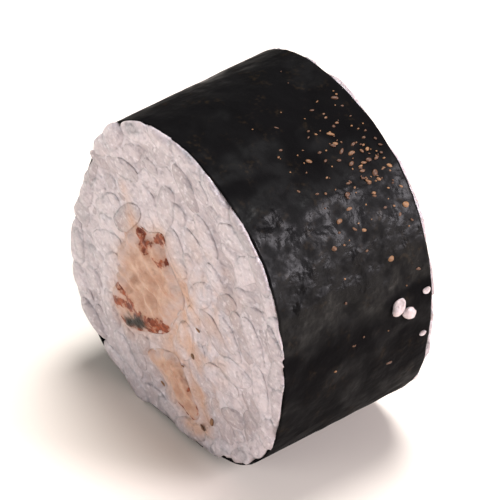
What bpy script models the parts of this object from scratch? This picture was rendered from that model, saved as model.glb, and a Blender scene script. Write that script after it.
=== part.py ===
"""One slice of a maki sushi roll, lying on its side.

The slice is a short cylinder with its axis along Y and its cut faces towards -Y and +Y.
A sheet of nori is wound once round a bed of sticky rice. Its end laps over its start, underneath.
Two strips of glazed eel run through the rice from one cut face to the other.
The origin is on the table, under the middle of the slice. Lengths are in metres.
"""

import math
import random

import bmesh
import bpy
from mathutils import Matrix, Vector, noise

# Driving dimensions of the slice
SLICE_LENGTH = 0.0190
MEAN_RADIUS = 0.0181
CENTRE_HEIGHT = 0.01805
CENTRE_RIGHT = 0.00005
NORI_THICKNESS = 0.0004
GAP = 0.0003

# The squeezed outline: each lobe is its share of the mean radius, its count and its direction in degrees
LOBES = ((0.028, 1, -58.0), (0.060, 2, 73.0), (0.034, 3, -26.0), (0.028, 4, 36.0))
FLAT_BLEND = 0.0003
FLAT_SLOPE = 0.5

# The nori sheet
NORI_LENGTH = 0.0187
NORI_START = math.radians(-104.0)
NORI_LAP = math.radians(27.0)
TUCK_RISE = math.radians(20.0)
TUCK_DEPTH = NORI_THICKNESS + 0.00015
NORI_STEPS_ROUND = 104
NORI_STEPS_ALONG = 6
RIM_WAVER = 0.00035
RIM_WAVER_SPACING = 0.006
SHARP_ANGLE = math.radians(50.0)

# The bed of rice and the grains that show on its cut faces
RICE_RECESS = 0.0008
RICE_SEGMENTS = 56
RICE_STEP_LEAD = math.radians(5.0)
RICE_STEP_WIDTH = math.radians(4.0)
GRAIN_LENGTH = 0.0060
GRAIN_WIDTH = 0.0030
GRAIN_SPREAD = 0.00158
GRAIN_PROUD = 0.0005
GRAIN_TILT = math.radians(18.0)
GRAIN_SEED = 5
GRAIN_PLACES = 156
GRAIN_TURNS = 12
GRAIN_RIM_TURN = math.radians(25.0)
GRAIN_CUT_SHARE = 0.62
GRAIN_SMALLEST = 0.85
GRAIN_LARGEST = 1.05
GRAIN_SIDES = 6
GRAIN_RINGS = 4
GRAIN_TIP_REACH = 0.8
GRAIN_TIP_RADIUS = 0.32
GRAIN_TIP_MARGIN = 0.35
GOLDEN_ANGLE = math.pi * (3.0 - math.sqrt(5.0))

# The eel pieces' outlines on the front face, anticlockwise, as (right, up) from the roll's centre
UPPER_EEL = (
    (-0.0066, 0.0042), (-0.0089, -0.0007), (-0.0094, -0.0046), (-0.0097, -0.0078), (-0.0074, -0.0098),
    (-0.0036, -0.0082), (-0.0008, -0.0064), (0.0006, -0.0038), (0.0021, -0.0004), (-0.0004, 0.0032),
    (-0.0014, 0.0060), (-0.0038, 0.0048),
)
LOWER_EEL = (
    (-0.0026, -0.0096), (-0.0040, -0.0112), (-0.0016, -0.0124), (0.0006, -0.0142), (0.0034, -0.0150),
    (0.0045, -0.0134), (0.0030, -0.0116), (0.0018, -0.0096), (0.0004, -0.0084),
)
EEL_SEGMENTS = 30
EEL_CAP_RINGS = 6
EEL_SIDE_RINGS = 3
PLAIN_CAP_RINGS = 2
CURVE_SAMPLES = 60
CURVE_STEP = 0.01
EEL_DRIFT = 0.0006
EEL_RELIEF = 0.0004
EEL_RELIEF_SPACING = 0.0022

# Colours, as linear red, green and blue, and roughness
NORI_LOOK = ((0.012, 0.012, 0.011), 0.35)
RICE_LOOK = ((0.62, 0.55, 0.52), 0.45)
EEL_LOOK = ((0.60, 0.36, 0.24), 0.5)


def clear_scene():
    """Removes every object that the file opened with."""
    for obj in list(bpy.data.objects):
        bpy.data.objects.remove(obj, do_unlink=True)


def new_collection(name):
    """A collection of that name in the scene."""
    collection = bpy.data.collections.new(name)
    bpy.context.scene.collection.children.link(collection)
    return collection


def new_material(name, look):
    """A plain Principled material from its colour and roughness."""
    colour, roughness = look
    material = bpy.data.materials.new(name)
    material.use_nodes = True
    shader = material.node_tree.nodes["Principled BSDF"]
    shader.inputs["Base Color"].default_value = (*colour, 1.0)
    shader.inputs["Roughness"].default_value = roughness
    shader.inputs["Metallic"].default_value = 0.0
    return material


def object_from(bm, name, collection, material=None):
    """Turns a bmesh into a smooth-shaded object at the roll's centre line."""
    mesh = bpy.data.meshes.new(name)
    bm.to_mesh(mesh)
    bm.free()
    mesh.shade_smooth()
    mesh.set_sharp_from_angle(angle=SHARP_ANGLE)
    if material:
        mesh.materials.append(material)
    obj = bpy.data.objects.new(name, mesh)
    obj.location = (CENTRE_RIGHT, 0.0, CENTRE_HEIGHT)
    collection.objects.link(obj)
    return obj


def smooth_step(t):
    """0 below 0, 1 above 1, and an S curve between."""
    t = min(1.0, max(0.0, t))
    return t * t * (3.0 - 2.0 * t)


def soft_min(a, b, blend):
    """The smaller of two lengths, with the corner between them rounded over the length blend."""
    overlap = max(blend - abs(a - b), 0.0) / blend
    return min(a, b) - overlap * overlap * blend / 4.0


def roll_radius(angle):
    """Distance from the centre line to the middle of the nori: a lobed circle, flat where it rests."""
    radius = MEAN_RADIUS
    for share, count, direction in LOBES:
        radius += MEAN_RADIUS * share * math.cos(count * (angle - math.radians(direction)))
    down = -math.sin(angle)
    if down > FLAT_SLOPE:
        radius = soft_min(radius, (CENTRE_HEIGHT - NORI_THICKNESS / 2) / down, FLAT_BLEND)
    return radius


def tuck(wound):
    """How far the nori is pressed in at that angle from its start, so that its end can lie over it."""
    return TUCK_DEPTH * (1.0 - smooth_step((wound - NORI_LAP) / TUCK_RISE))


def rice_radius(angle):
    """Distance from the centre line to the side of the rice, which steps in before the nori's start."""
    wound = (angle - NORI_START) % math.tau
    step = smooth_step((wound - math.tau + RICE_STEP_LEAD) / RICE_STEP_WIDTH + 1.0)
    return roll_radius(angle) - NORI_THICKNESS / 2 - GAP - max(tuck(wound), TUCK_DEPTH * step)


def wander(place, spacing):
    """Smooth noise from about -1 to 1 that changes over the given distance."""
    return noise.noise(Vector(place) / spacing)


def closed_curve(points, share):
    """A point on the smooth closed curve through the given points, at that share of the way round."""
    count = len(points)
    whole = math.floor(share * count)
    t = share * count - whole
    a, b, c, d = (Vector(points[(whole + k - 1) % count]) for k in range(4))
    return 0.5 * (2 * b + (c - a) * t + (2 * a - 5 * b + 4 * c - d) * t**2 + (3 * b - a - 3 * c + d) * t**3)


def drum(side_point, middle, half_length, segments, cap_rings, side_rings, relief=0.0):
    """A closed drum along Y, made from a sphere whose outer rings become its flat ends.

    side_point(share, y) is the outline's (right, up) at that share of the way round,
    middle is the point that the ends' rings close on, and relief is the height of bumps on the ends.
    """
    bm = bmesh.new()
    bmesh.ops.create_uvsphere(bm, u_segments=segments, v_segments=2 * cap_rings + side_rings, radius=1.0)
    rings = 2 * cap_rings + side_rings
    for vert in bm.verts:
        ring = round(math.acos(max(-1.0, min(1.0, vert.co.z))) / math.pi * rings)
        share = (math.atan2(vert.co.y, vert.co.x) / math.tau) % 1.0
        along = min(1.0, max(0.0, (ring - cap_rings) / side_rings))
        spread = min(ring, rings - ring, cap_rings) / cap_rings
        y = half_length * (2.0 * along - 1.0)
        edge = Vector(side_point(share, y))
        right, up = Vector(middle).lerp(edge, spread)
        if relief and spread < 1.0:
            y += math.copysign(relief, y) * wander((right, y, up), EEL_RELIEF_SPACING)
        vert.co = (right, y, up)
    return bm


def eel_point(points, share, y, grow=0.0):
    """A point of an eel strip's outline at that share and depth, moved outwards by grow."""
    tangent = closed_curve(points, share + CURVE_STEP) - closed_curve(points, share - CURVE_STEP)
    outward = Vector((tangent.y, -tangent.x)).normalized()
    drift = Vector((EEL_DRIFT * y / SLICE_LENGTH * 2, 0.0))
    return closed_curve(points, share) + outward * grow + drift


def middle_of(points):
    """The mean of an outline's points."""
    return sum((Vector(point) for point in points), Vector((0.0, 0.0))) / len(points)


def make_nori(collection, material):
    """A flat grid rolled once round the rice, with its end lapping over its tucked start."""
    bm = bmesh.new()
    bmesh.ops.create_grid(bm, x_segments=NORI_STEPS_ROUND, y_segments=NORI_STEPS_ALONG, size=1.0)
    for vert in bm.verts:
        wound = (vert.co.x + 1.0) / 2.0 * (math.tau + NORI_LAP)
        angle = NORI_START + wound
        radius = roll_radius(angle) - tuck(wound)
        right, up = radius * math.cos(angle), radius * math.sin(angle)
        rim = RIM_WAVER * wander((right, vert.co.y, up), RIM_WAVER_SPACING)
        vert.co = (right, vert.co.y * (NORI_LENGTH / 2 + rim), up)
    nori = object_from(bm, "nori", collection, material)
    wall = nori.modifiers.new("Wall", "SOLIDIFY")
    wall.thickness = NORI_THICKNESS
    wall.offset = 0.0
    wall.use_even_offset = True
    wall.use_quality_normals = True
    return nori


def make_eel(name, points, collection, material):
    """One strip of eel, with torn flesh on both cut ends."""
    bm = drum(
        lambda share, y: eel_point(points, share, y),
        middle_of(points), SLICE_LENGTH / 2, EEL_SEGMENTS, EEL_CAP_RINGS, EEL_SIDE_RINGS, relief=EEL_RELIEF,
    )
    return object_from(bm, name, collection, material)


def make_channel_cutter(name, points, collection):
    """The space that a strip takes out of the rice: the strip with a clear gap round it."""
    bm = drum(
        lambda share, y: eel_point(points, share, y, GAP),
        middle_of(points), SLICE_LENGTH, EEL_SEGMENTS, PLAIN_CAP_RINGS, EEL_SIDE_RINGS,
    )
    cutter = object_from(bm, name, collection)
    cutter.hide_render = True
    cutter.display_type = "WIRE"
    return cutter


def make_rice_core(collection, material):
    """The bed of rice without its grains: a drum just inside the nori."""
    def side_point(share, _y):
        angle = share * math.tau
        return rice_radius(angle) * math.cos(angle), rice_radius(angle) * math.sin(angle)

    half_length = SLICE_LENGTH / 2 - RICE_RECESS
    bm = drum(side_point, (0.0, 0.0), half_length, RICE_SEGMENTS, PLAIN_CAP_RINGS, PLAIN_CAP_RINGS)
    return object_from(bm, "rice", collection, material)


def clear_of_eel(place, radius):
    """Whether a round thing at (right, up) stays a gap away from both eel strips, on either face."""
    for points in (UPPER_EEL, LOWER_EEL):
        for k in range(CURVE_SAMPLES):
            near = closed_curve(points, k / CURVE_SAMPLES)
            if (near - place).length < radius + GAP + EEL_DRIFT:
                return False
        if inside(points, place):
            return False
    return True


def inside(points, place):
    """Whether (right, up) is inside an outline, by counting the edges to its right."""
    count = len(points)
    crossings = 0
    for k in range(count):
        a, b = Vector(points[k]), Vector(points[(k + 1) % count])
        if (a.y > place.y) != (b.y > place.y):
            crossings += place.x < a.x + (place.y - a.y) / (b.y - a.y) * (b.x - a.x)
    return crossings % 2 == 1


def clear_of_nori(place, direction, half_length):
    """Whether a grain lying along direction stays inside the rice's side at its middle and both tips."""
    half_width = half_length * GRAIN_WIDTH / GRAIN_LENGTH
    for reach in (-1.0, 0.0, 1.0):
        tip = place + direction * (reach * half_length)
        margin = half_width * (1.0 if reach == 0.0 else GRAIN_TIP_MARGIN)
        if tip.length + margin > rice_radius(math.atan2(tip.y, tip.x)):
            return False
    return True


def make_grain(name, place, direction, tilt, face, size, collection):
    """One plump grain half sunk in a cut face, face being -1 for the front and 1 for the back."""
    bm = bmesh.new()
    bmesh.ops.create_uvsphere(bm, u_segments=GRAIN_SIDES, v_segments=GRAIN_RINGS, radius=0.5)
    along = Vector((direction.x, math.sin(tilt), direction.y)).normalized()
    turn = Vector((0.0, 0.0, 1.0)).rotation_difference(along).to_matrix().to_4x4()
    shape = Matrix.Diagonal((GRAIN_WIDTH * size, GRAIN_WIDTH * size, GRAIN_LENGTH * size, 1.0))
    depth = face * (SLICE_LENGTH / 2 + GRAIN_PROUD - GRAIN_WIDTH * size / 2)
    move = Matrix.Translation((place.x, depth, place.y))
    bmesh.ops.transform(bm, matrix=move @ turn @ shape, verts=bm.verts)
    return object_from(bm, name, collection)


def grain_fits(place, direction, size):
    """Whether a grain of that size, lying along direction, is clear of the nori and of the eel."""
    half = GRAIN_LENGTH * size / 2
    balls = [place + direction * (half * share) for share in (-GRAIN_TIP_REACH, 0.0, GRAIN_TIP_REACH)]
    radii = [GRAIN_WIDTH * size * share for share in (GRAIN_TIP_RADIUS, 0.5, GRAIN_TIP_RADIUS)]
    return clear_of_nori(place, direction, half) and all(map(clear_of_eel, balls, radii))


def grain_choices(angle, whole, draw):
    """Pairs of heading and size to try in turn: whole grains first, and any way before along the rim."""
    along_rim = angle + math.pi / 2
    for size in (whole, whole * GRAIN_CUT_SHARE):
        for _turn in range(GRAIN_TURNS):
            yield draw.uniform(0.0, math.pi), size
        for _turn in range(GRAIN_TURNS):
            yield along_rim + draw.uniform(-GRAIN_RIM_TURN, GRAIN_RIM_TURN), size


def make_grains(collection):
    """Grains spread over both cut faces on a sunflower spiral, each turned its own way.

    Where no turn lets a whole grain fit, the knife-cut end of one fills the place.
    """
    draw = random.Random(GRAIN_SEED)
    for face in (-1, 1):
        for k in range(1, GRAIN_PLACES):
            reach = GRAIN_SPREAD * math.sqrt(k)
            angle = k * GOLDEN_ANGLE + face
            place = Vector((reach * math.cos(angle), reach * math.sin(angle)))
            whole = draw.uniform(GRAIN_SMALLEST, GRAIN_LARGEST)
            tilt = draw.uniform(-GRAIN_TILT, GRAIN_TILT)
            for heading, size in grain_choices(angle, whole, draw):
                direction = Vector((math.cos(heading), math.sin(heading)))
                if grain_fits(place, direction, size):
                    make_grain(f"grain_{face + 1}_{k}", place, direction, tilt, face, size, collection)
                    break


def baked(obj):
    """Replaces an object's mesh with what its modifiers make of it, and removes them."""
    graph = bpy.context.evaluated_depsgraph_get()
    mesh = bpy.data.meshes.new_from_object(obj.evaluated_get(graph))
    obj.modifiers.clear()
    obj.data = mesh


def keep_largest_island(obj):
    """Drops loose scraps and the walls of sealed hollows, which fills them."""
    bm = bmesh.new()
    bm.from_mesh(obj.data)
    left, islands = set(bm.verts), []
    while left:
        island, edge = set(), [left.pop()]
        while edge:
            vert = edge.pop()
            island.add(vert)
            near = {e.other_vert(vert) for e in vert.link_edges} & left
            left -= near
            edge.extend(near)
        islands.append(island)
    islands.sort(key=len)
    for island in islands[:-1]:
        bmesh.ops.delete(bm, geom=list(island), context="VERTS")
    bm.to_mesh(obj.data)
    bm.free()


def make_rice(collection, cutters, grains, material):
    """The bed of rice: a drum with a channel for the eel and grains fused on both cut faces."""
    rice = make_rice_core(collection, material)
    make_channel_cutter("upper_channel", UPPER_EEL, cutters)
    make_channel_cutter("lower_channel", LOWER_EEL, cutters)
    for cutter in cutters.objects:
        channel = rice.modifiers.new(cutter.name, "BOOLEAN")
        channel.operation = "DIFFERENCE"
        channel.object = cutter
    make_grains(grains)
    fuse = rice.modifiers.new("Grains", "BOOLEAN")
    fuse.operation = "UNION"
    fuse.operand_type = "COLLECTION"
    fuse.collection = grains
    baked(rice)
    keep_largest_island(rice)
    for grain in list(grains.objects):
        bpy.data.objects.remove(grain, do_unlink=True)
    return rice


def main():
    clear_scene()
    parts = new_collection("maki_slice")
    cutters = new_collection("cutters")
    grains = new_collection("grains")
    make_nori(parts, new_material("nori", NORI_LOOK))
    make_rice(parts, cutters, grains, new_material("rice", RICE_LOOK))
    eel = new_material("eel", EEL_LOOK)
    make_eel("eel_upper", UPPER_EEL, parts, eel)
    make_eel("eel_lower", LOWER_EEL, parts, eel)


main()
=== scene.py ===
"""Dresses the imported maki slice: real rice grains, wrinkled nori, flaky glazed eel and crumbs."""

import math

import bpy
import numpy as np
from bpy.props import FloatProperty, FloatVectorProperty, IntProperty, PointerProperty
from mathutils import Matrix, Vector


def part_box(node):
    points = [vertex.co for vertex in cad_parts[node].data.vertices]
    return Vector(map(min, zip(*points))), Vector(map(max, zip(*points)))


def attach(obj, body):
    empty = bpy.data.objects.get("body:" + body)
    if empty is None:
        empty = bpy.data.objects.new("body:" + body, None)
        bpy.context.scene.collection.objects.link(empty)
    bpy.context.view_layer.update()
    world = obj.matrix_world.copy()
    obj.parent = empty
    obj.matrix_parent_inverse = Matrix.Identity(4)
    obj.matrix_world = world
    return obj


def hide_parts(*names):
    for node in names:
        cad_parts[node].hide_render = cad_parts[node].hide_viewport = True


bl_info = {
    "name": "Maki slice",
    "version": (1, 0, 0),
    "blender": (4, 5, 0),
    "location": "View3D > Sidebar > Maki",
    "description": "Dresses a packed maki slice with grains, nori, eel, crumbs, stage and light",
    "category": "Object",
}

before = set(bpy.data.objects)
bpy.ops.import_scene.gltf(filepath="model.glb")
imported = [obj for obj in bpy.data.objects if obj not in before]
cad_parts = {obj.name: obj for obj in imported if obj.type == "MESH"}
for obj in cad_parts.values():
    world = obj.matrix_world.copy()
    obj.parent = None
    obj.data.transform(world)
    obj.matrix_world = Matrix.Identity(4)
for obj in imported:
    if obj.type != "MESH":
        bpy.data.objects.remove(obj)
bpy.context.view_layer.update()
NORI_LOW, NORI_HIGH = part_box("nori")
MM = 0.001

# The squeezed outline of the roll: share of the mean radius, lobes round the circle, direction in degrees
LOBES = ((0.028, 1, -58.0), (0.060, 2, 73.0), (0.034, 3, -26.0), (0.028, 4, 36.0))
FLAT_BLEND = 0.3 * MM
CENTRE = np.array((0.05 * MM, 0.0, 18.05 * MM))
CAD_WALL = 0.4 * MM

# How the nori is wound: where it starts, how far its end laps over that, and how deep the start is tucked in
NORI_START = math.radians(-104.0)
NORI_LAP = math.radians(27.0)
TUCK_RISE = math.radians(20.0)
TUCK_DEPTH = 0.55 * MM
RICE_STEP = math.radians(4.0)

# Eel outlines on the front face, anticlockwise, as (right, up) in millimetres from the roll's centre
UPPER_EEL = np.array((
    (-6.6, 4.2), (-8.9, -0.7), (-9.4, -4.6), (-9.7, -7.8), (-7.4, -9.8), (-3.6, -8.2),
    (-0.8, -6.4), (0.6, -3.8), (2.1, -0.4), (-0.4, 3.2), (-1.4, 6.0), (-3.8, 4.8),
)) * MM
LOWER_EEL = np.array((
    (-2.6, -9.6), (-4.0, -11.2), (-1.6, -12.4), (0.6, -14.2), (3.4, -15.0),
    (4.5, -13.4), (3.0, -11.6), (1.8, -9.6), (0.4, -8.4),
)) * MM
EEL_DRIFT = 0.6 * MM

# Lines on the faces, as (right, up) in millimetres. Crust and skin lines start with their half width
CRUST_LINES = (
    (0.75, (-4.9, 3.9), (-4.2, 2.7)),
    (0.50, (-4.3, 2.8), (-2.6, 4.4), (-1.0, 5.9)),
    (0.55, (-2.1, 1.9), (-1.2, 2.6)),
    (0.75, (-9.0, -4.8), (-7.2, -5.6), (-6.2, -6.6)),
    (0.55, (-9.5, -7.8), (-8.2, -7.0), (-6.5, -6.9)),
    (0.85, (-6.2, -6.4), (-4.6, -7.0), (-3.0, -6.6)),
    (1.10, (-3.0, -6.8), (-1.6, -6.0)),
    (0.50, (-7.9, -9.6), (-6.6, -8.8), (-5.2, -8.6)),
    (0.08, (1.0, -14.0), (2.4, -14.7), (3.6, -14.5)),
    (0.02, (4.3, -13.8), (3.8, -12.6), (2.8, -11.4)),
)
SKIN_LINES = ((0.65, (-7.2, -9.0), (-5.6, -8.0), (-4.3, -7.1)),)
STAIN_LINES = (
    ((-8.2, 8.4), (-7.2, 5.8), (-6.6, 4.0)), ((1.6, -1.6), (2.8, -5.6)), ((-0.6, 2.4), (4.0, -0.9)),
    ((3.6, -11.0), (5.3, -13.0)), ((2.4, -6.4), (3.4, -7.0)), ((3.0, -15.4), (5.2, -15.2)),
)

# Stray rice on the nori, as (angle in degrees, depth, length in millimetres, turn in degrees)
STRAY_RICE = ((6.5, 4.9, 1.9, 60.0), (2.0, 6.3, 1.7, -35.0), (7.5, 8.5, 0.9, 20.0), (-10.5, 8.3, 0.8, 0.0))

# Browned bits on the cut faces, as (right, up, length) in millimetres
FACE_BITS = (
    (5.9, -13.2, 1.3), (4.4, -15.0, 1.0), (-2.1, -13.5, 0.9), (2.8, -6.6, 1.0),
    (3.7, -2.6, 0.8), (-8.3, 7.6, 0.7), (1.2, -9.0, 0.6),
)

# How much glaze the rice took up beside the eel, on the stain lines and in a veil, and how far each reaches
EEL_STAIN, LINE_STAIN, VEIL_STAIN, MOST_STAIN = 0.50, 0.42, 0.48, 0.80
EEL_STAIN_REACH, LINE_STAIN_REACH, VEIL_REACH = 2.2 * MM, 1.3 * MM, 11.0 * MM
VEIL_MIDDLE = np.array((3.5, -2.0)) * MM

# How loose grains settle: steps, the closest that two balls come as a share of a ball's radius, and the
# share of an overlap that one step clears from another ball, the nori, the eel and the slab's planes
SETTLE_STEPS = 110
CLOSEST = 1.72
BALL_SHOVE, NORI_SHOVE, EEL_SHOVE, PLANE_SHOVE = 0.28, 0.8, 0.6, 0.5

# Grains: length, width and thickness as shares of the named ones, their bend, taper and dents
LENGTH_SHARES, WIDTH_SHARES, THICKNESS_SHARES = (0.86, 1.08), (0.92, 1.10), (0.84, 0.98)
GRAIN_BEND = 0.45 * MM
GRAIN_TAPER = 0.10
GRAIN_DENT = 0.16 * MM
GRAIN_RINGS, GRAIN_SEGMENTS = 8, 12

# The cut faces: levels of single grains, how far rim grains stand out, and the bed's depths below the grains
CUT_LEVELS = (-0.08 * MM, 0.20 * MM)
RIM_RAISE = 0.25 * MM
FILM_FLOOR = 0.35 * MM
BED_BELOW, BED_LUMPS, CHANNEL_DEPTH, CORNER_DROP = 0.06 * MM, 0.05 * MM, 1.5 * MM, 0.8 * MM

# The nori's points round and along the slice, and where its satin band starts and ends, in degrees up
NORI_AROUND, NORI_ALONG = 460, 84
SATIN_FROM, SATIN_TO = 10.0, 52.0

# The eel's cut ends: how far the middle stands out, the edge sinks, and flakes and tears reach
EEL_DOME, EEL_SINK, EEL_FLAKES, EEL_TEARS = 0.30 * MM, 0.05 * MM, 0.30 * MM, 0.16 * MM
FLAKE_SPACING = 1.25 * MM

# Flecks on the nori, in degrees and millimetres. FLECK_DEPTHS are the least, the likeliest and the greatest
FLECKS, LOW_FLECKS = 150, 10
FLECK_ANGLE, FLECK_SPREAD, LOW_FLECK_ANGLES = 58.0, 13.0, (-25.0, 20.0)
FLECK_DEPTHS = (-3.5, 8.0, 8.8)
SHORTEST_FLECK, LONGER_FLECKS, FLECK_SKEW = 0.18, 0.65, 2.5
CRUMB_RINGS, CRUMB_SEGMENTS = 5, 8

# Length, width and thickness of stray rice and of browned bits, and the length of bits on the back face
STRAY_SHAPE, BIT_SHAPE, BACK_BITS = (1.0, 0.72, 0.55), (0.8, 0.45, 0.16), 0.8
STRAY_RINGS, STRAY_SEGMENTS = 15, 20

# Linear colours between which the materials mottle
# The glassy rice colour is partly glassy grains and partly painted shade in small hollows; the chalky one is
# partly chalky grains and partly painted glints
CLOUDY_RICE, GLASSY_RICE_AND_SHADE, CHALKY_RICE_AND_GLINTS = (0.67, 0.60, 0.63), (0.38, 0.33, 0.36), (0.82, 0.76, 0.79)
WARM_FLESH, PALE_FLESH = (0.62, 0.41, 0.31), (0.55, 0.41, 0.37)
LIGHT_CRUST, GLAZE_HALO = (0.34, 0.085, 0.032), (0.42, 0.18, 0.09)
DARK_FLECK, GOLD_FLECK = (0.08, 0.03, 0.012), (0.28, 0.135, 0.055)

# Softboxes: turn and height angle in degrees, distance, width and height in metres, watts, and colour
KEY = (-5.0, 24.0, 1.1, 0.6, 0.5, 4.2, (1.0, 1.0, 1.0))
KICKER = (124.0, 25.0, 1.0, 0.32, 0.6, 10.0, (1.0, 0.94, 1.0))

# The far light: turn, height angle, strength and how many degrees it spans
TOP = (205.0, 72.0, 3.5, 28.0)
ROOM_GLOW, BACKDROP = 0.17, 1.06
FLOOR_REACH = 8.0


# Settings
def size_property(name, description, default):
    """A setting that is a length in metres."""
    return FloatProperty(name=name, description=description, default=default, unit="LENGTH")


def colour_property(name, description, default):
    """A setting that is a colour, as linear red, green and blue."""
    return FloatVectorProperty(name=name, description=description, default=default, subtype="COLOR", size=3)


class RollSizes(bpy.types.PropertyGroup):
    """Sizes of the slice and of what it is made of."""

    length: size_property("Length", "Distance between the two cut faces", 19.0 * MM)
    mean_radius: size_property("Mean radius", "From the roll's centre to its nori", 18.1 * MM)
    nori_wall: size_property("Nori wall", "Thickness of the nori", 0.3 * MM)
    wrinkle: size_property("Wrinkles", "Depth of the nori's wrinkles", 0.11 * MM)
    grain_length: size_property("Grain length", "Length of a cooked grain", 6.0 * MM)
    grain_width: size_property("Grain width", "Width of a cooked grain", 2.9 * MM)
    grains: IntProperty(name="Grains", description="Grains behind each cut face", default=210, min=10)
    slab: size_property("Slab", "Depth of the loose grains behind each cut face", 4.6 * MM)
    cut_soft: size_property("Cut softness", "Rounding where the knife cut a grain", 0.28 * MM)
    seed: IntProperty(name="Seed", description="Changes how the grains lie", default=7)


class RollColours(bpy.types.PropertyGroup):
    """Colours of the slice, as linear red, green and blue."""

    rice: colour_property("Rice", "Moist cooked rice", (0.665, 0.585, 0.615))
    # Rice shade is the colour of greyer grains and also of the painted shade in the hollows
    rice_shade: colour_property("Rice shade", "Greyer grains and hollows", (0.335, 0.275, 0.285))
    stain: colour_property("Stain", "Rice that took up glaze", (0.58, 0.33, 0.21))
    nori: colour_property("Nori", "Dark nori", (0.0018, 0.0015, 0.0018))
    nori_light: colour_property("Nori light", "Thin brown patches of nori", (0.014, 0.009, 0.005))
    flesh: colour_property("Eel flesh", "Cooked flesh", (0.465, 0.26, 0.178))
    crust: colour_property("Eel crust", "Browned glaze", (0.14, 0.023, 0.008))
    skin: colour_property("Eel skin", "Dark skin", (0.013, 0.010, 0.006))


class StageSettings(bpy.types.PropertyGroup):
    """Floor, light and camera."""

    floor: colour_property("Floor", "Colour of the floor", (0.93, 0.85, 0.775))
    azimuth: FloatProperty(
        name="Azimuth", description="Camera's turn round the slice", default=math.radians(52.0),
        subtype="ANGLE")
    elevation: FloatProperty(
        name="Elevation", description="Camera's height angle", default=math.radians(39.5), subtype="ANGLE")
    distance: size_property("Distance", "From the camera to the slice", 0.64)
    lens: FloatProperty(name="Lens", description="Focal length in millimetres", default=460.0)


# Numbers and curves
def smooth_step(t):
    """0 below 0, 1 above 1, and the cubic S curve 3t^2 - 2t^3 between."""
    t = np.clip(t, 0.0, 1.0)
    return t * t * (3.0 - 2.0 * t)


def wander(points, spacing, seed):
    """Smooth noise from -1 to 1: random values on a cubic lattice, blended between with S curves."""
    cells = 32
    lattice = np.random.default_rng(seed).uniform(-1.0, 1.0, (cells, cells, cells))
    places = points / spacing
    whole = np.floor(places).astype(int)
    t = smooth_step(places - whole)
    total = 0.0
    for corner in np.ndindex(2, 2, 2):
        share = np.prod(np.where(np.array(corner) == 1, t, 1.0 - t), axis=-1)
        at = (whole + np.array(corner)) % cells
        total = total + share * lattice[at[..., 0], at[..., 1], at[..., 2]]
    return total


def layered_wander(points, spacing, seed, layers=3):
    """Sum of noises, each with half the spacing and half the height of the one before."""
    return sum(wander(points, spacing / 2**k, seed + k) / 2**k for k in range(layers))


def roll_radius(angle, mean_radius):
    """Lobed circle, R(1 + sum of a cos(k(angle - phi))), cut off level where the slice rests."""
    radius = mean_radius * (1.0 + sum(a * np.cos(k * (angle - math.radians(d))) for a, k, d in LOBES))
    down = np.maximum(-np.sin(angle), 0.5)
    level = (CENTRE[2] - CAD_WALL / 2) / down
    overlap = np.maximum(FLAT_BLEND - np.abs(radius - level), 0.0) / FLAT_BLEND
    rounded = np.minimum(radius, level) - overlap**2 * FLAT_BLEND / 4
    return np.where(-np.sin(angle) > 0.5, rounded, radius)


def rice_side(angle, mean_radius):
    """The lobed circle less the nori, and stepped in where the nori's start is tucked under its end."""
    wound = (angle - NORI_START) % math.tau
    tucked = 1.0 - smooth_step((wound - NORI_LAP) / TUCK_RISE)
    coming = smooth_step((wound - math.tau) / RICE_STEP + 1.0)
    return roll_radius(angle, mean_radius) - CAD_WALL / 2 - TUCK_DEPTH * np.maximum(tucked, coming)


def closed_curve(points, share):
    """Smooth closed curve through points: on each span the Catmull-Rom cubic of its four neighbours."""
    count = len(points)
    whole = np.floor(share * count).astype(int)
    t = (share * count - whole)[..., None]
    a, b, c, d = (points[(whole + k - 1) % count] for k in range(4))
    return 0.5 * (2 * b + (c - a) * t + (2 * a - 5 * b + 4 * c - d) * t**2 + (3 * b - a - 3 * c + d) * t**3)


def around_roll(angle, radius, depth):
    """Points at that angle and distance from the roll's axis, and at that depth along it."""
    return np.stack((radius * np.cos(angle), depth + 0 * angle, radius * np.sin(angle)), -1)


def unit(ways):
    """The same directions with length 1."""
    return ways / np.linalg.norm(ways, axis=1, keepdims=True)


def line_distance(places, line):
    """Distance in the plane from each place to the nearest point of a line of points."""
    line = np.asarray(line, dtype=float)
    starts, runs = line[:-1], np.diff(line, axis=0)
    offsets = places[..., None, :] - starts
    along = np.clip((offsets * runs).sum(-1) / (runs**2).sum(-1), 0.0, 1.0)
    return np.linalg.norm(offsets - along[..., None] * runs, axis=-1).min(-1)


def rim_distance(places, curve):
    """Distance in the plane from each place to a closed line of points."""
    return line_distance(places, np.vstack((curve, curve[:1])))


def inside_curve(places, curve):
    """Whether each place is inside a closed line of points: an odd number of its edges lie to the right."""
    a, b = curve, np.roll(curve, -1, axis=0)
    x, y = places[..., 0, None], places[..., 1, None]
    spans = (a[:, 1] > y) != (b[:, 1] > y)
    rise = np.where(b[:, 1] == a[:, 1], 1e-12, b[:, 1] - a[:, 1])
    return (spans & (x < a[:, 0] + (y - a[:, 1]) / rise * (b[:, 0] - a[:, 0]))).sum(-1) % 2 == 1


# Meshes
def grid_faces(rows, columns, wrap):
    """Quads of a grid whose columns may close on themselves."""
    r, c = np.meshgrid(np.arange(rows - 1), np.arange(columns if wrap else columns - 1), indexing="ij")
    n = (c + 1) % columns
    quads = np.stack((r * columns + c, r * columns + n, (r + 1) * columns + n, (r + 1) * columns + c), -1)
    return quads.reshape(-1, 4)


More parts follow.
